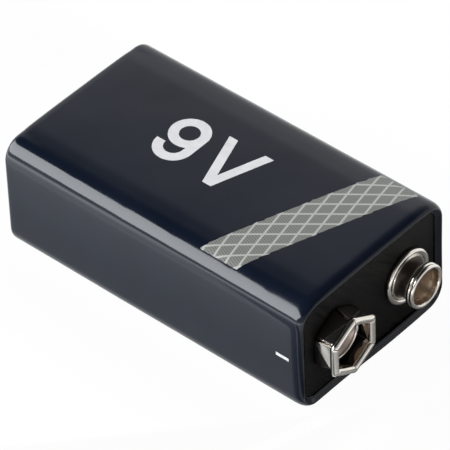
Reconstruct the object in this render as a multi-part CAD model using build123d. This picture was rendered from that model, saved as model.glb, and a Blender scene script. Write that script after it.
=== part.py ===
from build123d import *
import os
from math import cos, radians, tan

# A nine volt battery, lying on its broad face as it comes to rest.
# X runs along the case towards the two snap terminals, Y is the width and Z is up.
# The origin lies under the middle of the whole battery, on the surface that it rests on.
# All sizes are millimetres, and angles are degrees.

# The six cells, and the thin sleeve that insulates each one
cell_diameter = 7.6
cell_length = 39.3
cell_nub_diameter = 2.8
cell_nub_height = 1.0
cell_cover_diameter = 5.4
cell_cover_height = 0.3
cell_edge_radius = 0.35
sleeve_wall = 0.08
sleeve_end_gap = 0.2

# Room between the sleeves, and between the sleeves and the case
cell_row_gap = 0.04
cell_column_gap = 0.3
case_top_gap = 0.02
case_side_gap = 0.71

# The sheet steel case, whose two ends are rolled inwards
case_wall = 0.2
case_corner_radius = 3.0
rim_radius = 1.05
rim_flat = 0.1
rim_roll_radius = 0.3
base_rim_radius = 0.7
base_rim_flat = 0.1
base_rim_roll_radius = 0.3

# The two end plates, and the insulating cards behind them
terminal_plate_recess = 0.85
terminal_plate_thickness = 1.3
base_plate_recess = 0.8
base_plate_thickness = 1.25
card_thickness = 0.4
lead_room = 1.4
plate_clearance = 0.05

# The welded straps: links from cell to cell, and leads from a cell to a snap
strap_thickness = 0.15
link_width = 3.4
lead_edge = 0.5
lead_pad_length = 3.0
lead_riser_from_middle = 2.2
lead_tail_past_rivet = 1.7
lead_slot_clearance = 0.25

# The two snap terminals, which stand this far above the rolled rim
terminal_pitch = 12.7
terminal_stand = 2.5
snap_sheet = 0.3

# The male snap
stud_head_radius = 2.86
stud_head_band = 0.6
stud_head_wall = 0.5
stud_lip_radius = 0.25
stud_neck_radius = 2.4
stud_neck_height = 1.5
stud_neck_length = 0.5
stud_flange_radius = 3.7
stud_flange_bead = 0.33
stud_dish_depth = 0.35
stud_well_radius = 1.85

# The female snap, a ring of petals: round at the grip, flared to a polygon at the rolled tips
socket_floor_radius = 3.7
socket_foot_radius = 3.1
socket_grip_radius = 2.8
socket_grip_height = 1.0
socket_grip_length = 0.7
socket_tip_apothem = 3.77
socket_bead_radius = 0.42
petal_count = 6
petal_foot_width = 2.9
petal_waist_width = 2.4
petal_slit = 0.1

# The hollow rivets that hold each snap and its lead to the plate
rivet_radius = 0.9
rivet_bore_radius = 0.6
rivet_head_radius = 1.35
rivet_head_height = 0.22
rivet_tail_radius = 1.3
rivet_tail_height = 0.25
rivet_clearance = 0.05

# The print, a film let into the face of the case
ink_depth = 0.03
band_width = 5.2
band_slant = 20.0
band_from_rim = 9.6
band_edge_margin = 1.5
figure_height = 8.0
figure_stroke = 1.3
figure_gap = 1.3
figures_from_middle = -3.0
figures_rise = 1.0
nine_width = 5.2
vee_width = 6.8
sign_length = 1.9
sign_stroke = 0.45
sign_from_rim = 3.0

# Worked out from the sizes above
sleeve_diameter = cell_diameter + 2 * sleeve_wall
row_pitch = sleeve_diameter + cell_row_gap
column_pitch = sleeve_diameter + cell_column_gap
case_thickness = row_pitch + sleeve_diameter + 2 * (case_top_gap + case_wall)
case_width = 2 * column_pitch + sleeve_diameter + 2 * (case_side_gap + case_wall)
rim_width = rim_radius + rim_flat + rim_roll_radius
base_rim_width = base_rim_radius + base_rim_flat + base_rim_roll_radius
end_stack = card_thickness + strap_thickness
base_depth = base_plate_recess + base_plate_thickness + end_stack
terminal_depth = terminal_plate_recess + terminal_plate_thickness + lead_room + end_stack
case_length = base_depth + cell_length + terminal_depth
overall_length = case_length + terminal_stand
middle_height = case_thickness / 2
snap_height = terminal_plate_recess + terminal_stand

# Stations along X
case_base = -overall_length / 2
case_rim = case_base + case_length
base_plate_face = case_base + base_plate_recess
base_card_face = base_plate_face + base_plate_thickness
cells_base = case_base + base_depth
cells_top = cells_base + cell_length
top_card_face = cells_top + strap_thickness
plate_face = case_rim - terminal_plate_recess
plate_back = plate_face - terminal_plate_thickness

# The columns of cells across the width, and the rows from the resting face up
columns = [-column_pitch, 0, column_pitch]
low_row = middle_height - row_pitch / 2
high_row = middle_height + row_pitch / 2
socket_y = -terminal_pitch / 2
stud_y = terminal_pitch / 2


def across(x, y=0.0, z=middle_height):
    """A plane across the case: its own x is the width, its y is up, and it faces the terminals."""
    return Plane(origin=(x, y, z), x_dir=(0, 1, 0), z_dir=(1, 0, 0))


def case_outline(inset):
    """The rounded section of the case, taken in by the same amount all round."""
    width = case_width - 2 * inset
    height = case_thickness - 2 * inset
    return RectangleRounded(width, height, case_corner_radius - inset)


def case_slab(inset, x, thickness):
    """A flat slab with the outline of the case."""
    return extrude(across(x) * case_outline(inset), thickness)


# The case
def wall_line(inset):
    """One face of the case wall, from the lip at the terminal plate to the lip at the base plate."""
    side = case_thickness - inset
    lip = case_thickness - rim_width + inset
    base_lip = case_thickness - base_rim_width + inset
    points = [
        (plate_face, 0, lip),
        (case_rim - inset, 0, lip),
        (case_rim - inset, 0, side),
        (case_base + inset, 0, side),
        (case_base + inset, 0, base_lip),
        (base_plate_face, 0, base_lip),
    ]
    radii = [rim_roll_radius, rim_radius, base_rim_radius, base_rim_roll_radius]
    return FilletPolyline(*points, radius=[radius - inset for radius in radii])


def make_case():
    """The sleeve with both ends rolled in: one wall section, carried round the outline."""
    outer = wall_line(0)
    inner = wall_line(case_wall)
    section = make_face([outer, Line(outer @ 0, inner @ 0), inner, Line(outer @ 1, inner @ 1)])
    return sweep(section, (across(0) * case_outline(0)).wire())


# The print
def broad_face_figure(sketch):
    """A flat figure on the upper broad face, cut to a thin film of ink."""
    return extrude(Pos(0, 0, case_thickness - ink_depth) * sketch, ink_depth)


def narrow_face_figure(sketch, side):
    """A flat figure on a narrow face, upright when that face is looked at: side is -1 or 1."""
    face = Plane(
        origin=(case_rim - sign_from_rim, side * case_width / 2, middle_height),
        x_dir=(-side, 0, 0),
        z_dir=(0, side, 0),
    )
    return extrude(face * sketch, -ink_depth)


def make_band():
    """A straight slanted band, which wraps a little way over the rounded edges of both broad faces."""
    reach = case_width / 2 - band_edge_margin
    lean = reach * tan(radians(band_slant))
    half = band_width / cos(radians(band_slant)) / 2
    middle = case_rim - band_from_rim
    corners = [
        (middle - lean - half, -reach),
        (middle - lean + half, -reach),
        (middle + lean + half, reach),
        (middle + lean - half, reach),
    ]
    band = Pos(0, 0, middle_height) * extrude(make_face(Polyline(*corners, close=True)), middle_height)
    film = case_slab(0, case_base, case_length) - case_slab(ink_depth, case_base, case_length)
    top = film & band
    under = Pos(0, 0, middle_height) * (Rot(X=180) * (Pos(0, 0, -middle_height) * top))
    return Compound(children=[*top.solids(), *under.solids()])


def make_nine():
    """The figure nine: a ring, and a stem that drops from its right side and curls under."""
    radius = nine_width / 2
    middle = figure_height / 2 - radius
    bowl = Pos(0, middle) * (Circle(radius) - Circle(radius - figure_stroke))
    hook = Pos(0, -middle) * (Circle(radius) - Circle(radius - figure_stroke))
    below = Pos(0, -middle - radius) * Rectangle(2 * radius, 2 * radius)
    stem = Pos(radius - figure_stroke / 2, 0) * Rectangle(figure_stroke, 2 * middle)
    return bowl + stem + (hook & below)


def make_vee():
    """The letter V, with flat ends."""
    outer = vee_width / 2
    foot = figure_stroke / 2
    top = figure_height / 2
    corners = [(-outer, top), (-outer + figure_stroke, top), (foot, -top), (-foot, -top)]
    left = make_face(Polyline(*corners, close=True))
    return left + mirror(left, Plane.YZ)


def make_figures():
    """The rating on the upper face, and a minus and a plus beside their terminals."""
    width = nine_width + figure_gap + vee_width
    start = case_base + case_length / 2 + figures_from_middle - width / 2
    nine = Pos(start + nine_width / 2, figures_rise) * make_nine()
    vee = Pos(start + width - vee_width / 2, figures_rise) * make_vee()
    bar = Rectangle(sign_length, sign_stroke)
    cross = bar + Rectangle(sign_stroke, sign_length)
    films = [
        broad_face_figure(nine),
        broad_face_figure(vee),
        narrow_face_figure(bar, -1),
        narrow_face_figure(cross, 1),
    ]
    return Compound(children=[solid for film in films for solid in film.solids()])


# The end plates and cards
def make_plate(face, thickness):
    """A moulded plate that fills the case behind a rolled rim; its outer face is at the lip."""
    return case_slab(case_wall + plate_clearance, face, thickness)


def make_terminal_plate():
    """The plate that carries both snaps, with a hole for each rivet."""
    plate = make_plate(plate_back, terminal_plate_thickness)
    hole = Circle(rivet_radius + rivet_clearance)
    for y in (socket_y, stud_y):
        plate -= extrude(across(plate_back, y) * hole, terminal_plate_thickness)
    return plate


def make_top_card():
    """The card between the cells and the terminal plate, with a slot for each lead."""
    card = make_plate(top_card_face, card_thickness)
    slot_height = strap_thickness + 2 * lead_slot_clearance
    for cell_y, rivet_y, up in ((columns[0], socket_y, 1), (columns[-1], stud_y, -1)):
        middle, width = lead_span(cell_y, rivet_y)
        slot = Rectangle(width + 2 * lead_slot_clearance, slot_height)
        z = middle_height + up * (lead_riser_from_middle + strap_thickness / 2)
        card -= extrude(across(top_card_face, middle, z) * slot, card_thickness)
    return card


# The cells
def make_cell(x, y, z, nub_up):
    """A sealed can: a nub on its positive end, and a crimped cover on its negative end."""
    body_top = cell_length - cell_nub_height
    shoulder = Pos(0, 0, cell_cover_height) * Cylinder(
        cell_diameter / 2, body_top - cell_cover_height, align=(Align.CENTER, Align.CENTER, Align.MIN)
    )
    shoulder = fillet(shoulder.edges().filter_by(GeomType.CIRCLE), cell_edge_radius)
    cover = extrude(Circle(cell_cover_diameter / 2), cell_cover_height)
    nub = Pos(0, 0, body_top) * extrude(Circle(cell_nub_diameter / 2), cell_nub_height)
    cell = shoulder + cover + nub
    if not nub_up:
        cell = Pos(0, 0, cell_length) * (Rot(X=180) * cell)
    return across(x, y, z) * cell


def make_sleeve(x, y, z, nub_up):
    """The insulating tube round one can, just short of both rounded edges."""
    start = cell_cover_height if nub_up else cell_nub_height
    length = cell_length - cell_cover_height - cell_nub_height - 2 * sleeve_end_gap
    ring = Circle(sleeve_diameter / 2) - Circle(cell_diameter / 2)
    return extrude(across(x + start + sleeve_end_gap, y, z) * ring, length)


# The straps
def make_link(x, ends):
    """A flat strap with round ends, welded to two neighbouring cells."""
    (y_a, z_a), (y_b, z_b) = ends
    along = SlotCenterToCenter(abs(y_b - y_a) + abs(z_b - z_a), link_width)
    if y_a == y_b:
        along = Rot(Z=90) * along
    return extrude(across(x, (y_a + y_b) / 2, (z_a + z_b) / 2) * along, strap_thickness)


def lead_span(cell_y, rivet_y):
    """The middle and the width of a lead that covers both the end of a cell and a rivet."""
    edge = rivet_radius + rivet_clearance + lead_edge
    return (cell_y + rivet_y) / 2, abs(cell_y - rivet_y) + 2 * edge


def make_lead(cell_y, rivet_y, up):
    """A folded strap, from its pad on a cell up through the card and along under a rivet."""
    middle, width = lead_span(cell_y, rivet_y)
    riser = lead_riser_from_middle
    pad_back = cells_top
    tail_back = plate_back - strap_thickness
    end = -(rivet_radius + lead_tail_past_rivet)
    outline = [
        (pad_back, riser + strap_thickness),
        (pad_back, riser + lead_pad_length),
        (pad_back + strap_thickness, riser + lead_pad_length),
        (pad_back + strap_thickness, riser + strap_thickness),
        (plate_back, riser + strap_thickness),
        (plate_back, end),
        (tail_back, end),
        (tail_back, riser),
        (pad_back, riser),
    ]
    points = [(x, middle - width / 2, middle_height + up * rise) for x, rise in outline]
    strap = extrude(make_face(Polyline(*points, close=True)), width, dir=(0, 1, 0))
    hole = Circle(rivet_radius + rivet_clearance)
    return strap - extrude(across(tail_back, rivet_y) * hole, strap_thickness)


# The snaps and their rivets
def make_rivet(y):
    """A hollow rivet, headed inside the snap and spread under the lead."""
    tail = -(terminal_plate_thickness + strap_thickness)
    rivet = extrude(Pos(0, 0, tail) * Circle(rivet_radius), snap_sheet - tail)
    rivet += extrude(Pos(0, 0, snap_sheet) * Circle(rivet_head_radius), rivet_head_height)
    rivet += extrude(Pos(0, 0, tail) * Circle(rivet_tail_radius), -rivet_tail_height)
    length = snap_sheet + rivet_head_height + rivet_tail_height - tail
    rivet -= extrude(Pos(0, 0, tail - rivet_tail_height) * Circle(rivet_bore_radius), length)
    return across(plate_face, y) * rivet


def make_stud():
    """The male snap: a dished flange with a beaded edge, a neck, and a hollow head with a rolled lip."""
    hole = rivet_radius + rivet_clearance
    bead = stud_flange_radius - stud_flange_bead
    lip = stud_head_radius - stud_lip_radius
    lip_height = snap_height - stud_lip_radius
    dish = (bead, snap_sheet + stud_dish_depth)
    neck_foot = (stud_neck_radius, stud_neck_height)
    neck_top = (stud_neck_radius, stud_neck_height + stud_neck_length)
    head_foot = (stud_head_radius, lip_height - stud_head_band)
    head_top = (stud_head_radius, lip_height)
    mouth = (stud_head_radius - stud_head_wall, lip_height)
    well = (stud_well_radius, snap_sheet)
    half = make_face([
        Polyline(well, (hole, snap_sheet), (hole, 0), (bead, 0), dish),
        TangentArc(dish, neck_foot, tangent=(-1, 0)),
        Polyline(neck_foot, neck_top, head_foot, head_top, mouth, well),
    ])
    half += Pos(bead, stud_flange_bead) * Circle(stud_flange_bead)
    half += Pos(lip, lip_height) * Circle(stud_lip_radius)
    return across(plate_face, stud_y) * revolve(Plane.XZ * half, Axis.Z)


def sector_face(inner_radius, half_angle, z):
    """A slice of a ring one sheet thick, about the X axis, at a height."""
    outer_radius = inner_radius + snap_sheet
    inner_arc = CenterArc((0, 0), inner_radius, -half_angle, 2 * half_angle)
    outer_arc = CenterArc((0, 0), outer_radius, -half_angle, 2 * half_angle)
    sides = [Line(inner_arc @ end, outer_arc @ end) for end in (0, 1)]
    return Pos(0, 0, z) * make_face([inner_arc, outer_arc, *sides])


def make_petal():
    """One petal of the female snap, facing along its own +X: a foot, a round grip, a flat beaded flare."""
    half_angle = 180 / petal_count
    bead_x = socket_tip_apothem - socket_bead_radius
    bead_z = snap_height - socket_bead_radius
    tip_half = socket_tip_apothem * tan(radians(half_angle))
    grip_top = socket_grip_height + socket_grip_length
    inner = [
        (socket_foot_radius, 0),
        (socket_grip_radius, socket_grip_height),
        (socket_grip_radius, grip_top),
    ]
    outer = [(x + snap_sheet, z) for x, z in reversed(inner)]
    round_part = revolve(Plane.XZ * make_face(Polyline(*inner, *outer, close=True)), Axis.Z)
    flare_top = Pos(bead_x, 0, bead_z) * Rectangle(snap_sheet, 2 * tip_half)
    flare = loft([sector_face(socket_grip_radius, half_angle, grip_top), flare_top], ruled=True)
    bead = extrude(Plane.XZ * (Pos(bead_x, bead_z) * Circle(socket_bead_radius)), tip_half, both=True)

    foot = petal_foot_width / 2
    waist = petal_waist_width / 2
    edge = ThreePointArc((foot, 0), (waist, socket_grip_height), (tip_half, bead_z))
    frame = Polyline((tip_half, bead_z), (tip_half, snap_height), (0, snap_height), (0, 0), (foot, 0))
    half_front = make_face([edge, frame])
    front = extrude(Plane.YZ * (half_front + mirror(half_front, Plane.YZ)), 2 * socket_tip_apothem)
    wedge_half = tip_half - petal_slit / 2
    wedge = [(0, 0), (socket_tip_apothem, wedge_half), (socket_tip_apothem, -wedge_half)]
    mask = front & extrude(make_face(Polyline(*wedge, close=True)), snap_height)
    return (round_part + flare + bead) & mask


def make_socket():
    """The female snap: a floor with a rivet hole, and a ring of petals that flare to a polygon."""
    socket = extrude(Circle(socket_floor_radius), snap_sheet)
    petal = make_petal()
    for index in range(petal_count):
        socket += Rot(Z=index * 360 / petal_count) * petal
    socket -= extrude(Circle(rivet_radius + rivet_clearance), snap_sheet)
    return across(plate_face, socket_y) * socket


# The chain of cells, from the negative snap to the positive one
cell_places = [
    (columns[0], high_row, False),
    (columns[0], low_row, True),
    (columns[1], low_row, False),
    (columns[1], high_row, True),
    (columns[2], high_row, False),
    (columns[2], low_row, True),
]

pieces = {}
case = make_case()
band = make_band()
figures = make_figures()
pieces["jacket"] = case - band - figures
pieces["silver_print"] = band
pieces["white_print"] = figures
pieces["base_plate"] = make_plate(base_plate_face, base_plate_thickness)
pieces["base_card"] = make_plate(base_card_face, card_thickness)
pieces["top_card"] = make_top_card()
pieces["terminal_plate"] = make_terminal_plate()
pieces["negative_socket"] = make_socket()
pieces["positive_stud"] = make_stud()
pieces["negative_rivet"] = make_rivet(socket_y)
pieces["positive_rivet"] = make_rivet(stud_y)
pieces["negative_lead"] = make_lead(columns[0], socket_y, 1)
pieces["positive_lead"] = make_lead(columns[-1], stud_y, -1)

for number, (y, z, nub_up) in enumerate(cell_places, start=1):
    pieces[f"cell_{number}"] = make_cell(cells_base, y, z, nub_up)
    pieces[f"cell_sleeve_{number}"] = make_sleeve(cells_base, y, z, nub_up)

for number in range(len(cell_places) - 1):
    ends = [cell_places[number][:2], cell_places[number + 1][:2]]
    at_base = number % 2 == 0
    x = cells_base - strap_thickness if at_base else cells_top
    place = "base" if at_base else "top"
    pieces[f"{place}_link_{number // 2 + 1}"] = make_link(x, ends)

os.makedirs("parts", exist_ok=True)
for name, shape in pieces.items():
    export_step(shape, f"parts/{name}.step")
    print(name, len(shape.solids()), round(shape.volume, 2))
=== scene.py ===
from math import cos, pi, radians, sin, tan

import bmesh
import bpy
from mathutils import Matrix, Vector


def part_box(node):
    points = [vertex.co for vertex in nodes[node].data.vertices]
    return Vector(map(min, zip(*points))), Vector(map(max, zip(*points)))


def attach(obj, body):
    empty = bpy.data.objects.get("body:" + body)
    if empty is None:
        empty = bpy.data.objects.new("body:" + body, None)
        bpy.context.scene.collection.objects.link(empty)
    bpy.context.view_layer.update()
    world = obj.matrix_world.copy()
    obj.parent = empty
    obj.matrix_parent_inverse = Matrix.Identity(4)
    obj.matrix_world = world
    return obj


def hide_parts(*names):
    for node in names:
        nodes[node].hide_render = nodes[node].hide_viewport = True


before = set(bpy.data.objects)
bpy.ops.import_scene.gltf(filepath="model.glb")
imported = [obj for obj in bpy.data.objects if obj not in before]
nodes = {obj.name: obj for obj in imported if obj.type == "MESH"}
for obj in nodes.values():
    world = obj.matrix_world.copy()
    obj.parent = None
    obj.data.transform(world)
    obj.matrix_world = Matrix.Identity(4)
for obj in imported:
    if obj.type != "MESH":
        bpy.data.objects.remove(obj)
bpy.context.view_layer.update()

# A nine volt battery lying on its broad face, with both snaps towards the camera.
# The case runs along X, its width along Y, and Z is up. Sizes in the tables are millimetres.
mm = 0.001
mergeGap = 0.002 * mm  # points nearer than this are one point


# Selecting and editing, as by hand
def deselectAll():
    bpy.ops.object.select_all(action="DESELECT")


def pickPiece(piece):
    deselectAll()
    piece.select_set(True)
    bpy.context.view_layer.objects.active = piece


def startEdit(piece):
    pickPiece(piece)
    bpy.ops.object.mode_set(mode="EDIT")
    bpy.ops.mesh.select_mode(type="VERT")


def endEdit():
    bpy.ops.object.mode_set(mode="OBJECT")


def pickFaces(test):
    # faces whose normal passes the test
    bpy.ops.mesh.select_mode(type="FACE")
    bpy.ops.mesh.select_all(action="DESELECT")
    mesh = bpy.context.object.data
    shape = bmesh.from_edit_mesh(mesh)
    for face in shape.faces:
        if test(face.normal):
            face.select_set(True)
    bmesh.update_edit_mesh(mesh)


def pickLongEdges(axis, length):
    # edges that reach further than a length along one axis
    bpy.ops.mesh.select_mode(type="EDGE")
    bpy.ops.mesh.select_all(action="DESELECT")
    mesh = bpy.context.object.data
    shape = bmesh.from_edit_mesh(mesh)
    for edge in shape.edges:
        if abs(edge.verts[0].co[axis] - edge.verts[1].co[axis]) > length * mm:
            edge.select_set(True)
    bmesh.update_edit_mesh(mesh)


def pickPoints(test):
    # points whose place, in millimetres, passes the test
    bpy.ops.mesh.select_mode(type="VERT")
    bpy.ops.mesh.select_all(action="DESELECT")
    mesh = bpy.context.object.data
    shape = bmesh.from_edit_mesh(mesh)
    for point in shape.verts:
        if test(point.co / mm):
            point.select_set(True)
    shape.select_flush(True)
    bmesh.update_edit_mesh(mesh)


def pullPoints(test, move, falloff, reach):
    # moves the points that pass the test, and less and less of what lies around them
    pickPoints(test)
    bpy.ops.transform.translate(value=tuple(part * mm for part in move), use_proportional_edit=True,
                                proportional_edit_falloff=falloff, proportional_size=reach * mm)


def addModifier(piece, kind, **settings):
    modifier = piece.modifiers.new(kind.lower(), kind)
    for name, value in settings.items():
        setattr(modifier, name, value)
    pickPiece(piece)
    bpy.ops.object.modifier_apply(modifier=modifier.name)


def copyPiece(piece, name):
    pickPiece(piece)
    bpy.ops.object.duplicate()
    copy = bpy.context.object
    copy.name = name
    return copy


def joinPieces(pieces, name):
    deselectAll()
    for piece in pieces:
        piece.select_set(True)
    bpy.context.view_layer.objects.active = pieces[0]
    bpy.ops.object.join()
    pieces[0].name = name
    return pieces[0]


def settle(piece, name):
    # the place goes into the mesh, and the piece rides on the only body
    piece.name = name
    piece.data.name = name
    pickPiece(piece)
    bpy.ops.object.transform_apply(location=True, rotation=True, scale=True)
    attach(piece, "root")


def smoothShade(piece, angle=None):
    pickPiece(piece)
    if angle is None:
        bpy.ops.object.shade_smooth()
    else:
        bpy.ops.object.shade_smooth_by_angle(angle=radians(angle))


def giveFinish(piece, finish):
    piece.data.materials.clear()
    piece.data.materials.append(finish)


def arc(middle, radius, start, end, steps):
    # points along an arc of a profile, from one angle to another
    turns = [radians(start + (end - start) * step / steps) for step in range(steps + 1)]
    return [(middle[0] + radius * cos(turn), middle[1] + radius * sin(turn)) for turn in turns]


def turnProfile(name, line, foot, steps):
    # draws a closed line of (radius, height) points and spins it about an axis along X
    def place(point):
        return Vector((foot[0] + point[1], foot[1], foot[2] + point[0])) * mm

    deselectAll()
    bpy.ops.mesh.primitive_plane_add(size=mm, location=place(line[0]))
    piece = bpy.context.object
    bpy.ops.object.transform_apply(location=True)
    startEdit(piece)
    bpy.ops.mesh.select_all(action="SELECT")
    bpy.ops.mesh.merge(type="CENTER")
    for before, after in zip(line, line[1:] + line[:1]):
        move = place(after) - place(before)
        bpy.ops.mesh.extrude_vertices_move(TRANSFORM_OT_translate={"value": move})
    bpy.ops.mesh.select_all(action="SELECT")
    bpy.ops.mesh.remove_doubles(threshold=mergeGap)
    bpy.ops.mesh.spin(steps=steps, angle=2 * pi, center=Vector(foot) * mm, axis=(1, 0, 0))
    bpy.ops.mesh.select_all(action="SELECT")
    bpy.ops.mesh.remove_doubles(threshold=mergeGap)
    bpy.ops.mesh.normals_make_consistent(inside=False)
    endEdit()
    piece.name = name
    return piece


# The camera, at the photograph's angle
photoView = {
    "azimuth": 42.694, "elevation": 42.597, "roll": -2.297,
    "distance": 515.9, "across": 0.125, "above": -0.430,
    "middle": (-1.25, 0, 8),
    "lens": 352.87, "sensorWidth": 36, "farthest": 50000,
}


def placeCamera(view):
    deselectAll()
    turn, tip, roll = (radians(view[name]) for name in ("azimuth", "elevation", "roll"))
    back = Vector((sin(turn) * cos(tip), -cos(turn) * cos(tip), sin(tip)))
    level = Vector((cos(turn), sin(turn), 0))
    upright = back.cross(level)
    right = cos(roll) * level + sin(roll) * upright
    up = cos(roll) * upright - sin(roll) * level
    eye = Vector(view["middle"]) + view["distance"] * back + view["across"] * right + view["above"] * up
    bpy.ops.object.camera_add(location=eye * mm)
    camera = bpy.context.object
    turned = Matrix((right, up, back)).transposed().to_4x4()
    camera.matrix_world = Matrix.Translation(eye * mm) @ turned
    camera.name = "photoCamera"
    camera.data.lens = view["lens"]
    camera.data.sensor_width = view["sensorWidth"]
    camera.data.clip_end = view["farthest"] * mm
    bpy.context.scene.camera = camera


placeCamera(photoView)
print("camera placed")


# Materials. The owner of a node is a material or the world, and what feeds a node is another
# node's output, a number or a colour.
def newMaterial(name):
    material = bpy.data.materials.new(name)
    material.use_nodes = True
    return material


def shaderOf(material, **settings):
    shader = material.node_tree.nodes["Principled BSDF"]
    for name, value in settings.items():
        shader.inputs[name.replace("_", " ")].default_value = value
    return shader


def addNode(owner, kind, **settings):
    node = owner.node_tree.nodes.new("ShaderNode" + kind)
    for name, value in settings.items():
        setattr(node, name, value)
    return node


def join(owner, source, target):
    if isinstance(source, bpy.types.NodeSocket):
        owner.node_tree.links.new(source, target)
    else:
        target.default_value = source


def addMath(owner, operation, first, second=0.0):
    node = addNode(owner, "Math", operation=operation)
    join(owner, first, node.inputs[0])
    join(owner, second, node.inputs[1])
    return node.outputs["Value"]


def addVectorMath(owner, operation, first, second=(0, 0, 0)):
    node = addNode(owner, "VectorMath", operation=operation)
    join(owner, first, node.inputs[0])
    join(owner, second, node.inputs[1])
    return next(output for output in node.outputs if output.enabled)


def addReach(owner, vector, direction):
    # how far a vector reaches along a direction
    return addVectorMath(owner, "DOT_PRODUCT", vector, direction)


def addRange(owner, value, source, target, kind="LINEAR"):
    # goes from one target level to the other while a value passes through the source range
    node = addNode(owner, "MapRange", interpolation_type=kind)
    for label, level in zip(("From Min", "From Max", "To Min", "To Max"), (*source, *target)):
        join(owner, level, node.inputs[label])
    join(owner, value, node.inputs["Value"])
    return node.outputs["Result"]


def addStep(owner, value, low, high, start=0.0, end=1.0):
    # the same, smoothly, for a distance in millimetres
    return addRange(owner, value, (low * mm, high * mm), (start, end), "SMOOTHSTEP")


def addMix(owner, share, first, second):
    node = addNode(owner, "Mix", data_type="RGBA")
    join(owner, share, node.inputs["Factor"])
    join(owner, first, node.inputs["A"])
    join(owner, second, node.inputs["B"])
    return node.outputs["Result"]


def addTones(owner, value, tones, kind="LINEAR"):
    # greys along a value, as (place, level)
    ramp = addNode(owner, "ValToRGB")
    ramp.color_ramp.interpolation = kind
    for position, level in tones[2:]:
        ramp.color_ramp.elements.new(position)
    for stop, (position, level) in zip(ramp.color_ramp.elements, tones):
        stop.position = position
        stop.color = (level, level, level, 1)
    join(owner, value, ramp.inputs["Fac"])
    return ramp.outputs["Color"]


def startGroup(name, inputs, outputs):
    group = bpy.data.node_groups.new(name, "ShaderNodeTree")
    for label, kind in inputs:
        group.interface.new_socket(label, in_out="INPUT", socket_type="NodeSocket" + kind)
    for label, kind in outputs:
        group.interface.new_socket(label, in_out="OUTPUT", socket_type="NodeSocket" + kind)
    return group, group.nodes.new("NodeGroupInput"), group.nodes.new("NodeGroupOutput")


def makeGrainGroup():
    # a stretched noise on the piece's own coordinates, as a mask and as a bumped normal
    group, entry, result = startGroup(
        "surfaceGrain",
        [("Scale", "Vector"), ("Turn", "Vector"), ("Detail", "Float"), ("Depth", "Float")],
        [("Mask", "Float"), ("Normal", "Vector")],
    )
    place = group.nodes.new("ShaderNodeTexCoord")
    turned = group.nodes.new("ShaderNodeMapping")
    sized = group.nodes.new("ShaderNodeMapping")
    noise = group.nodes.new("ShaderNodeTexNoise")
    bump = group.nodes.new("ShaderNodeBump")
    noise.inputs["Scale"].default_value = 1.0
    wires = [
        (place.outputs["Object"], turned.inputs["Vector"]),
        (entry.outputs["Turn"], turned.inputs["Rotation"]),
        (turned.outputs["Vector"], sized.inputs["Vector"]),
        (entry.outputs["Scale"], sized.inputs["Scale"]),
        (sized.outputs["Vector"], noise.inputs["Vector"]),
        (entry.outputs["Detail"], noise.inputs["Detail"]),
        (noise.outputs["Fac"], bump.inputs["Height"]),
        (entry.outputs["Depth"], bump.inputs["Distance"]),
        (noise.outputs["Fac"], result.inputs["Mask"]),
        (bump.outputs["Normal"], result.inputs["Normal"]),
    ]
    for source, target in wires:
        group.links.new(source, target)
    return group


grain = makeGrainGroup()
grainSpan = {"colour": (0.35, 0.65), "rough": (0.3, 0.7)}  # the part of the noise that is used


def addGrain(material, scale, depth, turn=(0, 0, 0), detail=3.0):
    # scale is in waves to the metre along each axis, and depth in millimetres
    node = addNode(material, "Group", node_tree=grain)
    node.inputs["Scale"].default_value = scale
    node.inputs["Turn"].default_value = tuple(radians(angle) for angle in turn)
    node.inputs["Detail"].default_value = detail
    node.inputs["Depth"].default_value = depth * mm
    return node.outputs["Mask"], node.outputs["Normal"]


def addGrainColour(material, mask, dark, light):
    ramp = addNode(material, "ValToRGB")
    for stop, position, colour in zip(ramp.color_ramp.elements, grainSpan["colour"], (dark, light)):
        stop.position = position
        stop.color = (*colour, 1)
    join(material, mask, ramp.inputs["Fac"])
    return ramp.outputs["Color"]


def grainMaterial(name, dark, light, scale, depth, rough, turn=(0, 0, 0), detail=3.0, **settings):
    material = newMaterial(name)
    shader = shaderOf(material, **settings)
    mask, normal = addGrain(material, scale, depth, turn, detail)
    join(material, addGrainColour(material, mask, dark, light), shader.inputs["Base Color"])
    join(material, addRange(material, mask, grainSpan["rough"], rough), shader.inputs["Roughness"])
    join(material, normal, shader.inputs["Normal"])
    return material


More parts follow.
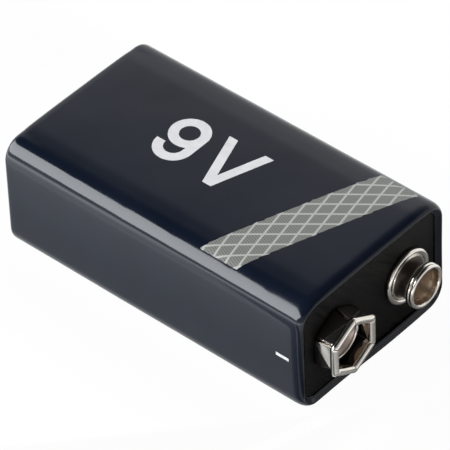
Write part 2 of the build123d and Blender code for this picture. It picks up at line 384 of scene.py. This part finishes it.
finishes = {
    "lacquer": grainMaterial(
        "navyLacquer", dark=(0.0034, 0.0054, 0.0116), light=(0.0044, 0.0066, 0.0134),
        scale=(160, 160, 160), depth=0.0006, rough=(0.10, 0.13), IOR=1.45),
    "whiteInk": grainMaterial(
        "whiteInk", dark=(0.525, 0.512, 0.52), light=(0.575, 0.56, 0.568),
        scale=(900, 900, 900), depth=0.0008, rough=(0.13, 0.17), IOR=1.45),
    "plate": grainMaterial(
        "blackMoulding", dark=(0.0018, 0.0015, 0.0013), light=(0.0125, 0.0108, 0.0100),
        scale=(240, 240, 2200), depth=0.05, rough=(0.50, 0.68), turn=(45, 0, 0),
        Specular_IOR_Level=0.15),
    "rivet": grainMaterial(
        "rivetMetal", dark=(0.26, 0.205, 0.155), light=(0.33, 0.265, 0.20),
        scale=(900, 900, 900), depth=0.002, rough=(0.28, 0.40), Metallic=0.8),
    "strap": grainMaterial(
        "strapMetal", dark=(0.50, 0.48, 0.45), light=(0.60, 0.58, 0.55),
        scale=(300, 300, 2600), depth=0.002, rough=(0.28, 0.40), Metallic=1.0),
    "card": grainMaterial(
        "paperCard", dark=(0.20, 0.15, 0.10), light=(0.30, 0.235, 0.16),
        scale=(2200, 2200, 2200), depth=0.02, rough=(0.80, 0.95), detail=6.0),
    "can": grainMaterial(
        "canSteel", dark=(0.46, 0.46, 0.45), light=(0.56, 0.56, 0.55),
        scale=(120, 1800, 1800), depth=0.002, rough=(0.24, 0.34), Metallic=1.0),
    "sleeve": grainMaterial(
        "shrinkSleeve", dark=(0.035, 0.095, 0.06), light=(0.05, 0.125, 0.08),
        scale=(260, 600, 600), depth=0.008, rough=(0.30, 0.42)),
}
print("plain finishes made")


# The silver band's ink: pale lines in a diamond lattice over a darker hatched ground
lattice = {
    "slant": 20.0, "opening": 62, "pitch": 1.7, "line": 0.26, "soft": 0.07,
    "hatchPitch": 0.30, "hatchSoft": 0.1,
    "ground": (0.119, 0.120, 0.110), "hatch": (0.181, 0.180, 0.167), "pale": (0.342, 0.34, 0.32),
    "scale": (1500, 1500, 1500), "depth": 0.001, "rough": (0.14, 0.20),
}


def addLines(material, position, turn, pitch, line, soft):
    # a mask of evenly spaced straight lines across the flat face
    turned = addNode(material, "Mapping")
    turned.inputs["Rotation"].default_value = (0, 0, radians(turn))
    join(material, position, turned.inputs["Vector"])
    parts = addNode(material, "SeparateXYZ")
    join(material, turned.outputs["Vector"], parts.inputs["Vector"])
    wave = addMath(material, "PINGPONG", parts.outputs["X"], pitch * mm / 2)
    return addStep(material, wave, (line - soft) / 2, (line + soft) / 2, 1.0, 0.0)


def makeSilverInk(look):
    material = newMaterial("silverInk")
    shader = shaderOf(material, IOR=1.45)
    mask, normal = addGrain(material, look["scale"], look["depth"])
    position = addNode(material, "TexCoord").outputs["Object"]
    hatch = addLines(material, position, look["slant"] + 90, look["hatchPitch"], look["hatchPitch"] / 2,
                     look["hatchSoft"])
    ground = addMix(material, hatch, (*look["ground"], 1), (*look["hatch"], 1))
    first, second = [
        addLines(material, position, look["slant"] + lean, look["pitch"], look["line"], look["soft"])
        for lean in (look["opening"] / 2, -look["opening"] / 2)]
    diamonds = addMath(material, "MAXIMUM", first, second)
    join(material, addMix(material, diamonds, ground, (*look["pale"], 1)), shader.inputs["Base Color"])
    join(material, addRange(material, mask, grainSpan["rough"], look["rough"]), shader.inputs["Roughness"])
    join(material, normal, shader.inputs["Normal"])
    return material


finishes["silverInk"] = makeSilverInk(lattice)

# The snaps' nickel: pale and warm, with painted shade and painted reflections in zones about each snap's
# axis, where it is also duller. A zone lies between radii and heights over the plate, and its heights lean
# with the level.
nickel = {
    "dark": (0.78, 0.725, 0.655), "light": (0.87, 0.82, 0.76), "scale": (700, 700, 700), "depth": 0.0012,
    "rough": (0.13, 0.30), "metallic": (1.0, 0.7),  # outside the painted zones, and inside
    "edge": (-0.06, 0.06), "outerEdge": (-0.06, 0.04),
}
# painted shade: brown inside the head's cup, and near black on the dish and neck below the head
studPaintedLightZones = [
    {"outer": 2.26, "paintedColour": (0.50, 0.395, 0.30)},
    {"inner": 2.26, "outer": 2.70, "low": 0.44, "high": 2.15, "paintedColour": (0.075, 0.058, 0.048)},
]
# painted light and shade: warm brown and pinkish painted reflections inside the socket, and near black
# painted shade on the petals' feet and lower parts
socketPaintedLightZones = [
    {"outer": 3.05, "low": 1.3, "high": 2.7, "paintedColour": (0.60, 0.46, 0.355)},
    {"outer": 2.1, "high": 0.6, "paintedColour": (0.40, 0.30, 0.22)},
    {"inner": 2.05, "outer": 3.0, "high": 1.12, "paintedColour": (0.52, 0.41, 0.37)},
    {"inner": 3.2, "high": 0.5, "paintedColour": (0.03, 0.026, 0.024)},
    {"inner": 3.0, "high": 1.25, "lean": 0.5, "paintedColour": (0.03, 0.026, 0.024)},
    {"inner": 3.0, "high": -0.8, "lean": -0.9, "paintedColour": (0.035, 0.028, 0.023)},
]


def snapFoot(node):
    # where a snap's axis meets the plate
    low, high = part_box(node)
    return [round(part / mm, 3) for part in (low.x, (low.y + high.y) / 2, (low.z + high.z) / 2)]


def addPaintedZone(material, place, radius, paintedZone, look):
    # one where the painted zone is, and zero where it isn't
    height = addReach(material, place, (1, 0, paintedZone.get("lean", 0)))
    share = None
    for label, value, edge, levels in (
        ("outer", radius, "outerEdge", (1.0, 0.0)), ("inner", radius, "edge", (0.0, 1.0)),
        ("low", height, "edge", (0.0, 1.0)), ("high", height, "edge", (1.0, 0.0)),
    ):
        if label in paintedZone:
            start, end = (paintedZone[label] + offset for offset in look[edge])
            part = addStep(material, value, start, end, *levels)
            share = addMath(material, "MULTIPLY", share, part) if share else part
    return share


def makeNickel(name, node, paintedZones, look):
    material = newMaterial(name)
    shader = shaderOf(material)
    mask, normal = addGrain(material, look["scale"], look["depth"])
    colour = addGrainColour(material, mask, look["dark"], look["light"])
    position = addNode(material, "TexCoord").outputs["Object"]
    place = addVectorMath(material, "SUBTRACT", position, Vector(snapFoot(node)) * mm)
    across = addVectorMath(material, "MULTIPLY", place, (0, 1, 1))
    radius = addVectorMath(material, "LENGTH", across)
    inPaintedZones = None
    # each zone lays its painted shade or painted reflection over the nickel, and dulls it
    for paintedZone in paintedZones:
        share = addPaintedZone(material, place, radius, paintedZone, look)
        colour = addMix(material, share, colour, (*paintedZone["paintedColour"], 1))
        inPaintedZones = addMath(material, "MAXIMUM", inPaintedZones, share) if inPaintedZones else share
    join(material, colour, shader.inputs["Base Color"])
    for label, levels in (("Roughness", look["rough"]), ("Metallic", look["metallic"])):
        join(material, addRange(material, inPaintedZones, (0.0, 1.0), levels), shader.inputs[label])
    join(material, normal, shader.inputs["Normal"])
    return material


finishes["studNickel"] = makeNickel("studNickel", "positive_stud", studPaintedLightZones, nickel)
finishes["socketNickel"] = makeNickel("socketNickel", "negative_socket", socketPaintedLightZones, nickel)
print("ink and nickel made")

# The case: a sheet steel sleeve with rounded corners, whose two ends are rolled inwards
case = {
    "wall": 0.2, "cornerRadius": 2.8, "cornerSteps": 20,
    "cutsAlong": 84, "cutsAcross": 45, "cutsUp": 22, "longEdge": 0.3,  # a share of the case's own size
    "rimStart": 1.75, "rim": [  # how far in and how far out, from where the terminal rim's fold starts
        (0.0, 0.0), (0.008, 0.3), (0.035, 0.6), (0.09, 0.88), (0.15, 1.06), (0.22, 1.21), (0.31, 1.35),
        (0.40, 1.45), (0.50, 1.51), (0.60, 1.50), (0.70, 1.43), (0.84, 1.32), (0.98, 1.21), (1.12, 1.12),
        (1.18, 1.11), (1.23, 1.08), (1.26, 1.02), (1.27, 0.82)],
    "baseRadius": 0.7, "baseFlat": 0.1, "baseRollRadius": 0.3, "baseRecess": 0.8, "baseSteps": 6,
    "crown": 0.15, "crownReach": 10.2, "crownEnd": 19.5, "topBand": 0.1,
    "crease": 0.05, "creaseReach": 2.2, "creaseBand": 0.05,
    "flats": [(-14, 0.02), (-6, 0.025), (2, 0.025), (10, 0.03), (16, 0.03)],  # from this x on, how deep
    "flatTurn": 33.0, "flatReach": 1.5, "flatBand": 0.12,
    "bulge": 0.24, "bulgeReach": 10.5, "bulgeFrom": 21, "bulgePlace": (5.0, 0.4), "bulgeBand": (1.5, 0.3),
    "dentSize": 11, "dentDepth": 0.05, "rippleSize": 3.5, "rippleDepth": 0.008,
}


def rollEnd(side, line):
    # takes the end face in over the rim, and back down to the plate, along (inward, outward) points
    pickFaces(lambda normal: round(normal.x) == side)
    for before, after in zip(line, line[1:]):
        bpy.ops.mesh.inset(thickness=(after[0] - before[0]) * mm, depth=(after[1] - before[1]) * mm,
                           use_even_offset=True)
    bpy.ops.mesh.delete(type="FACE")


def baseLine(look):
    # a quarter round, a flat crest, a quarter roll, and straight down to the plate
    radius, flat, roll, steps = (look["base" + name] for name in ("Radius", "Flat", "RollRadius", "Steps"))
    line = [(radius - along, inward) for along, inward in arc((0, 0), radius, 0, 90, steps)]
    line += [(radius + flat + along, radius - roll + up) for along, up in arc((0, 0), roll, 90, 0, steps)]
    return line + [(radius + flat + roll, radius - look["baseRecess"])]


def crownFace(look, side, top):
    # the broad face crowns a little along its middle, and eases down before each fold
    floor = top - look["topBand"]
    fold = side - look["cornerRadius"]
    pullPoints(lambda point: (abs(point.y) < look["topBand"] and abs(point.x) < look["crownEnd"]
                              and point.z > floor),
               (0, 0, look["crown"]), "SPHERE", look["crownReach"])
    pullPoints(lambda point: abs(abs(point.y) - fold) < look["creaseBand"] and point.z > floor,
               (0, 0, -look["crease"]), "SMOOTH", look["creaseReach"])


def flattenFold(look, side, top):
    # the near fold is a little flatter towards the terminals
    radius, near = look["cornerRadius"], look["flatBand"]
    turn = radians(look["flatTurn"])
    out = side - radius + radius * sin(turn)
    level = top - radius * (1 - cos(turn))
    for start, depth in look["flats"]:
        pullPoints(lambda point: (point.x > start and abs(point.y + out) < near
                                  and abs(point.z - level) < near),
                   (0, depth * sin(turn), -depth * cos(turn)), "SMOOTH", look["flatReach"])


def bulgeRim(look):
    # the rim stands out a little along its far lower edge
    across, level = look["bulgePlace"]
    wide, tall = look["bulgeBand"]
    pullPoints(lambda point: (point.x > look["bulgeFrom"] and abs(point.y - across) < wide
                              and abs(point.z - level) < tall),
               (look["bulge"], 0, 0), "SMOOTH", look["bulgeReach"])


def makeCaseSkin(look):
    low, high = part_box("jacket")
    size = (high - low) / mm
    low = low + Vector((look["baseRadius"], 0, 0)) * mm
    high = high - Vector((look["rimStart"], 0, 0)) * mm
    deselectAll()
    bpy.ops.mesh.primitive_cube_add(size=1, location=(low + high) / 2, scale=high - low)
    skin = bpy.context.object
    bpy.ops.object.transform_apply(location=True, rotation=True, scale=True)
    startEdit(skin)
    pickLongEdges(0, look["longEdge"] * size.x)
    bpy.ops.mesh.bevel(offset=look["cornerRadius"] * mm, segments=look["cornerSteps"], affect="EDGES")
    rollEnd(1, look["rim"])
    rollEnd(-1, baseLine(look))
    for axis, cuts in enumerate(("cutsAlong", "cutsAcross", "cutsUp")):
        pickLongEdges(axis, look["longEdge"] * size[axis])
        bpy.ops.mesh.subdivide(number_cuts=look[cuts])
    crownFace(look, high.y / mm, high.z / mm)
    flattenFold(look, high.y / mm, high.z / mm)
    bulgeRim(look)
    endEdit()
    for name in ("dent", "ripple"):
        clouds = bpy.data.textures.new(name + "s", "CLOUDS")
        clouds.noise_scale = look[name + "Size"] * mm
        clouds.noise_depth = 1
        addModifier(skin, "DISPLACE", texture=clouds, texture_coords="LOCAL",
                    strength=look[name + "Depth"] * mm, mid_level=0.5)
    return skin


skin = makeCaseSkin(case)
jacket = copyPiece(skin, "caseSleeve")
addModifier(jacket, "SOLIDIFY", thickness=case["wall"] * mm, offset=-1)
smoothShade(jacket)
giveFinish(jacket, finishes["lacquer"])
settle(jacket, "caseSleeve")
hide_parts("jacket")
print("case made", len(jacket.data.polygons), "faces")

# The print: films cut from a copy of the case's own skin, so that they follow its dents
printing = {
    "lift": 0.012, "bandWidth": 5.2, "bandSlant": 20.0, "bandFromRim": 9.6, "bandMargin": 1.5,
    "filmDepth": 0.03, "figuresFrom": 5.0, "topReach": 12.0, "cutterReach": 1.0, "figureAngle": 30,
}


def cutSkin(point, normal):
    # cuts what is in edit mode, and keeps the side that the normal points to
    bpy.ops.mesh.select_mode(type="VERT")
    bpy.ops.mesh.select_all(action="SELECT")
    bpy.ops.mesh.bisect(plane_co=Vector(point) * mm, plane_no=Vector(normal), clear_inner=True,
                        clear_outer=False)


def cutFilm(name, planes):
    film = copyPiece(skin, name)
    startEdit(film)
    for point, normal in planes:
        cutSkin(point, normal)
    bpy.ops.mesh.select_all(action="SELECT")
    bpy.ops.transform.shrink_fatten(value=printing["lift"] * mm)
    endEdit()
    return film


def makeBand(look):
    # one film on the broad face, and one on the face below
    low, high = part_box("jacket")
    level = (low.z + high.z) / 2 / mm
    middle = high.x / mm - look["bandFromRim"]
    reach = high.y / mm - look["bandMargin"]
    half = look["bandWidth"] / cos(radians(look["bandSlant"])) / 2
    films = []
    for side in (1, -1):
        lean = side * radians(look["bandSlant"])
        across = Vector((cos(lean), -sin(lean), 0))
        films.append(cutFilm("band", [
            ((0, 0, level), (0, 0, side)),
            ((middle - half, 0, level), across), ((middle + half, 0, level), -across),
            ((0, -reach, level), (0, 1, 0)), ((0, reach, level), (0, -1, 0)),
        ]))
    return joinPieces(films, "silverBand")


band = makeBand(printing)
smoothShade(band)
giveFinish(band, finishes["silverInk"])
settle(band, "silverBand")
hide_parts("silver_print")
print("band made")


def makeCutter(look):
    # the printed films of the CAD model, drawn out to both sides of the skin
    low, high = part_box("jacket")
    top = high.z / mm - look["filmDepth"] / 2
    side = high.y / mm - look["filmDepth"] / 2
    reach = look["topReach"]
    cutter = copyPiece(nodes["white_print"], "cutter")
    cutter.parent = None
    cutter.hide_render = False
    startEdit(cutter)
    bpy.ops.mesh.select_all(action="SELECT")
    bpy.ops.mesh.remove_doubles(threshold=mergeGap / 2)
    for test, move in (
        (lambda point: abs(point.y) < reach and point.z > top, (0, 0, 1)),
        (lambda point: abs(point.y) < reach and point.z < top, (0, 0, -1)),
        (lambda point: point.y > side, (0, 1, 0)),
        (lambda point: reach < point.y < side, (0, -1, 0)),
        (lambda point: point.y < -side, (0, -1, 0)),
        (lambda point: -side < point.y < -reach, (0, 1, 0)),
    ):
        pickPoints(test)
        bpy.ops.transform.translate(value=Vector(move) * look["cutterReach"] * mm)
    endEdit()
    return cutter


def makeFigures(look):
    # what the cutter encloses of the raised skin is kept
    films = cutFilm("figures", [((0, 0, look["figuresFrom"]), (0, 0, 1))])
    addModifier(films, "SOLIDIFY", thickness=look["lift"] * mm, offset=-1)
    cutter = makeCutter(look)
    addModifier(films, "BOOLEAN", operation="INTERSECT", solver="EXACT", object=cutter)
    bpy.data.objects.remove(cutter)
    return films


figures = makeFigures(printing)
smoothShade(figures, printing["figureAngle"])
giveFinish(figures, finishes["whiteInk"])
settle(figures, "whiteFigures")
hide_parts("white_print")
bpy.data.objects.remove(skin)
print("figures made", len(figures.data.polygons), "faces")

# The male snap: a dished flange with a beaded edge, a neck, and a hollow head with a rolled lip.
# A turn holds a rolled stretch's first angle, last angle and steps. The lists are the points between.
stud = {
    "steps": 96, "smoothAngle": 50, "height": 3.35, "hole": 0.95, "sheet": 0.3,
    "flangeRadius": 3.7, "neckRadius": 2.4, "headRadius": 2.86,
    "beadRadius": 0.36, "beadTurn": (-90, 195, 19),
    "ridgeMiddle": (2.87, 0.43), "ridgeRadius": 0.11, "ridgeTurn": (-20, 160, 8),
    "lipRadius": 0.27, "lipTurn": (-38, 180, 16),
    "neck": [  # past the neck's radius, over the plate
        (0.31, 0.55), (0.22, 0.66), (0.12, 0.84), (0.05, 1.08), (0.01, 1.35), (0, 1.55), (0, 1.9),
        (0.04, 2.05)],
    "head": [(-0.14, 2.26), (-0.03, 2.36), (0, 2.46)],  # past the head's radius, over the plate
    "underLip": [(0, -0.40), (-0.02, -0.33), (-0.08, -0.24)],  # past the head's radius, over the lip
    "bore": [  # past the neck's radius, over the sheet
        (-0.05, 2.53), (-0.07, 2.2), (-0.20, 1.7), (-0.34, 1.1), (-0.45, 0.5), (-0.56, 0.12), (-0.75, 0)],
}


def makeStud(look):
    bead, ridge, lip = look["beadRadius"], look["ridgeRadius"], look["lipRadius"]
    neck, head, sheet = look["neckRadius"], look["headRadius"], look["sheet"]
    top = look["height"] - lip
    line = [(look["hole"], sheet), (look["hole"], 0)]
    line += arc((look["flangeRadius"] - bead, bead), bead, *look["beadTurn"])
    line += arc(look["ridgeMiddle"], ridge, *look["ridgeTurn"])
    line += [(neck + out, up) for out, up in look["neck"]]
    line += [(head + out, up) for out, up in look["head"]]
    line += [(head + out, top + up) for out, up in look["underLip"]]
    line += arc((head - lip, top), lip, *look["lipTurn"])
    line += [(neck + out, sheet + up) for out, up in look["bore"]]
    return turnProfile("maleSnap", line, snapFoot("positive_stud"), look["steps"])


maleSnap = makeStud(stud)
smoothShade(maleSnap, stud["smoothAngle"])
giveFinish(maleSnap, finishes["studNickel"])
settle(maleSnap, "maleSnap")
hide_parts("positive_stud")
print("male snap made", len(maleSnap.data.polygons), "faces")

# The female snap: a floor, and six petals that grip low down and flare to a rolled polygon
socket = {
    "steps": 72, "smoothAngle": 40, "hole": 0.95, "floorHeight": 0.3,
    "gripRadius": 2.88, "gripHeight": 0.98, "gripBead": 0.26, "gripTurn": (0, 180, 12),
    "footFlat": 0.05, "footHeight": 0.15,
    "slope": [(0.12, 0.86), (0.27, 0.70), (0.42, 0.54), (0.54, 0.42), (0.64, 0.33)],  # within the bead
    "slopeEnd": 0.74,
    "petals": 6, "columns": 12, "sheet": 0.26, "slit": 0.06, "bevel": 0.05, "bevelAngle": 50,
    "rows": [  # radius, height, half the width and the bow of each row of a petal, from its foot up
        (3.00, 0.14, 1.60, 0.10), (3.42, 0.16, 1.80, 0.08), (3.55, 0.26, 1.88, 0.07),
        (3.56, 0.45, 1.90, 0.06), (3.50, 0.70, 1.88, 0.06), (3.43, 1.00, 1.84, 0.05),
        (3.35, 1.30, 1.80, 0.05), (3.27, 1.60, 1.76, 0.05), (3.18, 1.90, 1.72, 0.05),
        (3.09, 2.20, 1.68, 0.05), (3.01, 2.45, 1.66, 0.04), (2.94, 2.68, 1.64, 0.04)],
    "curlMiddle": (3.25, 2.84), "curlRadius": 0.38, "curlTurn": (180, -128, 14), "curlBow": 0.03,
}


def petalRows(look):
    # the table's rows, and then those of the rolled tip, as wide as the polygon's side there
    share = tan(radians(180 / look["petals"]))
    curl = arc(look["curlMiddle"], look["curlRadius"], *look["curlTurn"])
    return look["rows"] + [
        (radius, height, radius * share - look["slit"], look["curlBow"]) for radius, height in curl]


def makePetal(look):
    # one row of edges is drawn as an arc, then drawn out, moved and sized for each row
    rows = petalRows(look)
    radius, height, half, bow = rows[0]
    deselectAll()
    bpy.ops.mesh.primitive_grid_add(x_subdivisions=1, y_subdivisions=look["columns"], size=1)
    petal = bpy.context.object
    startEdit(petal)
    pickPoints(lambda point: point.x > 0)
    bpy.ops.mesh.delete(type="VERT")
    mesh = petal.data
    shape = bmesh.from_edit_mesh(mesh)
    for point in shape.verts:
        share = point.co.y * 2  # from -1 to 1, because the grid is 1 wide
        point.co = Vector((height, -(radius - bow * share * share), half * share)) * mm
    bmesh.update_edit_mesh(mesh)
    bpy.ops.mesh.select_mode(type="EDGE")
    bpy.ops.mesh.select_all(action="SELECT")
    for before, after in zip(rows, rows[1:]):
        move = Vector((after[1] - before[1], before[0] - after[0], 0)) * mm
        bpy.ops.mesh.extrude_edges_move(TRANSFORM_OT_translate={"value": move})
        centre = Vector((after[1], -after[0], 0)) * mm
        bpy.ops.transform.resize(value=(1, after[3] / before[3], after[2] / before[2]),
                                 center_override=centre)
    bpy.ops.mesh.select_all(action="SELECT")
    bpy.ops.mesh.normals_make_consistent(inside=False)
    endEdit()
    addModifier(petal, "SOLIDIFY", thickness=look["sheet"] * mm, offset=0)
    addModifier(petal, "BEVEL", width=look["bevel"] * mm, segments=2, limit_method="ANGLE",
                angle_limit=radians(look["bevelAngle"]))
    return petal


def makeSocketFloor(look, foot):
    grip, bead = look["gripRadius"], look["gripBead"]
    line = [(look["hole"], look["floorHeight"]), (look["hole"], 0)]
    line += [(grip + look["footFlat"], 0), (grip + bead, look["footHeight"])]
    line += arc((grip, look["gripHeight"]), bead, *look["gripTurn"])
    line += [(grip - bead - inward, height) for inward, height in look["slope"]]
    line += [(grip - bead - look["slopeEnd"], look["floorHeight"])]
    return turnProfile("femaleSnap", line, foot, look["steps"])


def makeSocket(look):
    foot = snapFoot("negative_socket")
    petal = makePetal(look)
    petals = []
    for index in range(look["petals"]):
        copy = copyPiece(petal, "petal")
        startEdit(copy)
        bpy.ops.mesh.select_all(action="SELECT")
        bpy.ops.transform.rotate(value=radians(index * 360 / look["petals"]), orient_axis="X",
                                 center_override=(0, 0, 0))
        bpy.ops.transform.translate(value=Vector(foot) * mm)
        endEdit()
        petals.append(copy)
    bpy.data.objects.remove(petal)
    return joinPieces([makeSocketFloor(look, foot)] + petals, "femaleSnap")


femaleSnap = makeSocket(socket)
smoothShade(femaleSnap, socket["smoothAngle"])
giveFinish(femaleSnap, finishes["socketNickel"])
settle(femaleSnap, "femaleSnap")
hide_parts("negative_socket")
print("female snap made", len(femaleSnap.data.polygons), "faces")

# The nodes that stay as they are, each in its own finish
nodeFinish = {
    "terminal_plate": "plate", "base_plate": "plate", "base_card": "card", "top_card": "card",
    "negative_rivet": "rivet", "positive_rivet": "rivet", "negative_lead": "strap", "positive_lead": "strap",
}
for name, piece in nodes.items():
    finish = nodeFinish.get(name)
    if name.startswith("cell_sleeve"):
        finish = "sleeve"
    elif name.startswith("cell_"):
        finish = "can"
    elif "_link_" in name:
        finish = "strap"
    if finish:
        for slot in piece.material_slots:
            slot.material = finishes[finish]
print("nodes finished")

# The studio: a pale floor with painted shadow near the case and a painted glow at the left, a sky that dims
# upwards, and a big soft light at the left. The camera sees the floor and the sky as white, and the battery
# mirrors their darker tones, painted shade and glow.
studio = {
    "floorSize": 6000, "floorDrop": 0.03, "floorRough": 0.6, "whiteShare": 0.97,
    # painted shadow: the floor's tones darken close to the case
    "tonesFrom": (30.0, 12.8), "tonesReach": 160,  # outwards from this x and y
    "paintedShadowTones": [(0.0, 0.56), (0.010, 0.37), (0.03, 0.34), (0.06, 0.46), (0.08, 0.84), (0.30, 0.94),
                   (1.0, 0.95)],
    # painted shade on the floor off the near front corner
    "cornerLine": (1, -0.917, 0), "cornerPast": (32.2, 34.0), "cornerBefore": (25.5, 29.0), "paintedCornerShade": 0.18,
    # a painted light strip through the corner shade
    "stripLine": (1, -0.304, 0), "stripPast": (25.9, 26.4), "stripBefore": (27.6, 28.1), "paintedLightStrip": 1.2,
    # a painted glow on the floor, at the big light's side
    "glowLine": (-0.5, -0.866, 0), "glowPast": (35, 140), "paintedGlow": 2.4,
    "sky": [(0.0, 1.0), (0.58, 1.0), (0.68, 0.5), (0.74, 0.15), (0.80, 0.02)],  # upwards
    "backdrop": (-0.678, 0.735, 0.0), "backdropEdge": 0.4,
    "nearHeight": (0.06, 0.24), "nearStrength": (1.0, 0.42),  # of the sky across from the backdrop
}
softbox = {
    "azimuth": 226, "elevation": 34, "distance": 1000, "size": (1333, 733),
    "power": 26.1, "colour": (0.93, 0.975, 1.0),
}


def showToCamera(owner, share, plain, white, output):
    # what the camera sees is white by a share, and everything else sees the plain look
    blend = addNode(owner, "MixShader")
    for source, target in zip((share, plain, white), blend.inputs):
        join(owner, source, target)
    join(owner, blend.outputs["Shader"], owner.node_tree.nodes[output].inputs["Surface"])


def addPaintedFloorShade(material, position, parts, look):
    # painted shadow: the floor is darker close to the case
    past, aside = look["tonesFrom"]
    ahead = addMath(material, "SUBTRACT", parts.outputs["X"], past * mm)
    beside = addMath(material, "ABSOLUTE", parts.outputs["Y"])
    beside = addMath(material, "SUBTRACT", beside, aside * mm)
    reach = addMath(material, "MAXIMUM", ahead, beside)
    paintedShadow = addTones(material, addMath(material, "DIVIDE", reach, look["tonesReach"] * mm), look["paintedShadowTones"])
    # painted shade: it is darker still off the near front corner, which darkens the rim there, as the rim
    # mirrors it
    along = addReach(material, position, look["cornerLine"])
    paintedCornerShade = addMath(material, "MULTIPLY", addStep(material, along, *look["cornerPast"]),
                     addStep(material, parts.outputs["X"], *look["cornerBefore"], 1.0, 0.0))
    # all but a painted light strip through it, brighter than the plain floor, which the socket's near petal
    # mirrors
    along = addReach(material, position, look["stripLine"])
    paintedLightStrip = addMath(material, "MULTIPLY", addStep(material, along, *look["stripPast"]),
                    addStep(material, along, *look["stripBefore"], 1.0, 0.0))
    shade = addRange(material, paintedLightStrip, (0.0, 1.0), (look["paintedCornerShade"], look["paintedLightStrip"]))
    paintedLightLevel = addRange(material, paintedCornerShade, (0.0, 1.0), (1.0, shade))
    paintedFloorColour = addVectorMath(material, "SCALE", paintedShadow)
    join(material, paintedLightLevel, paintedFloorColour.node.inputs["Scale"])
    return paintedFloorColour


def makeFloor(look):
    deselectAll()
    bpy.ops.mesh.primitive_plane_add(size=look["floorSize"] * mm, location=(0, 0, -look["floorDrop"] * mm))
    floor = bpy.context.object
    floor.name = "paleFloor"
    bpy.ops.object.transform_apply(location=True)
    material = newMaterial("paleFloor")
    shader = shaderOf(material, Roughness=look["floorRough"], Emission_Color=(1, 1, 1, 1))
    position = addNode(material, "TexCoord").outputs["Object"]
    parts = addNode(material, "SeparateXYZ")
    join(material, position, parts.inputs["Vector"])
    join(material, addPaintedFloorShade(material, position, parts, look), shader.inputs["Base Color"])
    # painted light: the part of the floor on the big light's side glows, and is the brightest
    leftward = addReach(material, position, look["glowLine"])
    join(material, addStep(material, leftward, *look["glowPast"], 0.0, look["paintedGlow"]),
         shader.inputs["Emission Strength"])
    # the camera sees it white, and a little of its shadow
    white = addNode(material, "Emission").outputs["Emission"]
    seen = addMath(material, "MULTIPLY", addNode(material, "LightPath").outputs["Is Camera Ray"],
                   look["whiteShare"])
    showToCamera(material, seen, shader.outputs["BSDF"], white, "Material Output")
    floor.data.materials.append(material)


def makeSky(look):
    world = bpy.data.worlds.new("studioSky")
    bpy.context.scene.world = world
    world.use_nodes = True
    background = world.node_tree.nodes["Background"]
    direction = addNode(world, "TexCoord").outputs["Generated"]
    parts = addNode(world, "SeparateXYZ")
    join(world, direction, parts.inputs["Vector"])
    upwards = parts.outputs["Z"]
    join(world, addTones(world, upwards, look["sky"], "EASE"), background.inputs["Color"])
    # it dims sooner on the side across from the backdrop
    facing = addReach(world, direction, look["backdrop"])
    near = addRange(world, upwards, look["nearHeight"], look["nearStrength"])
    strength = addRange(world, facing, (-look["backdropEdge"], look["backdropEdge"]), (near, 1.0))
    join(world, strength, background.inputs["Strength"])
    white = addNode(world, "Background")
    white.inputs["Color"].default_value = (1, 1, 1, 1)
    seen = addNode(world, "LightPath").outputs["Is Camera Ray"]
    showToCamera(world, seen, background.outputs["Background"], white.outputs["Background"], "World Output")


def addSoftbox(look):
    # an area lamp that looks at the battery from a direction
    turn, tip = radians(look["azimuth"]), radians(look["elevation"])
    away = Vector((cos(turn) * cos(tip), sin(turn) * cos(tip), sin(tip)))
    target = Vector(photoView["middle"]) * mm
    bpy.ops.object.light_add(type="AREA", location=target + away * look["distance"] * mm)
    lamp = bpy.context.object
    lamp.name = "leftSoftbox"
    lamp.rotation_euler = away.to_track_quat("Z", "Y").to_euler()
    lamp.data.shape = "RECTANGLE"
    lamp.data.size, lamp.data.size_y = (side * mm for side in look["size"])
    lamp.data.energy = look["power"]
    lamp.data.color = look["colour"]


makeFloor(studio)
makeSky(studio)
addSoftbox(softbox)
print("studio made")

bpy.context.scene.view_settings.view_transform = "Standard"
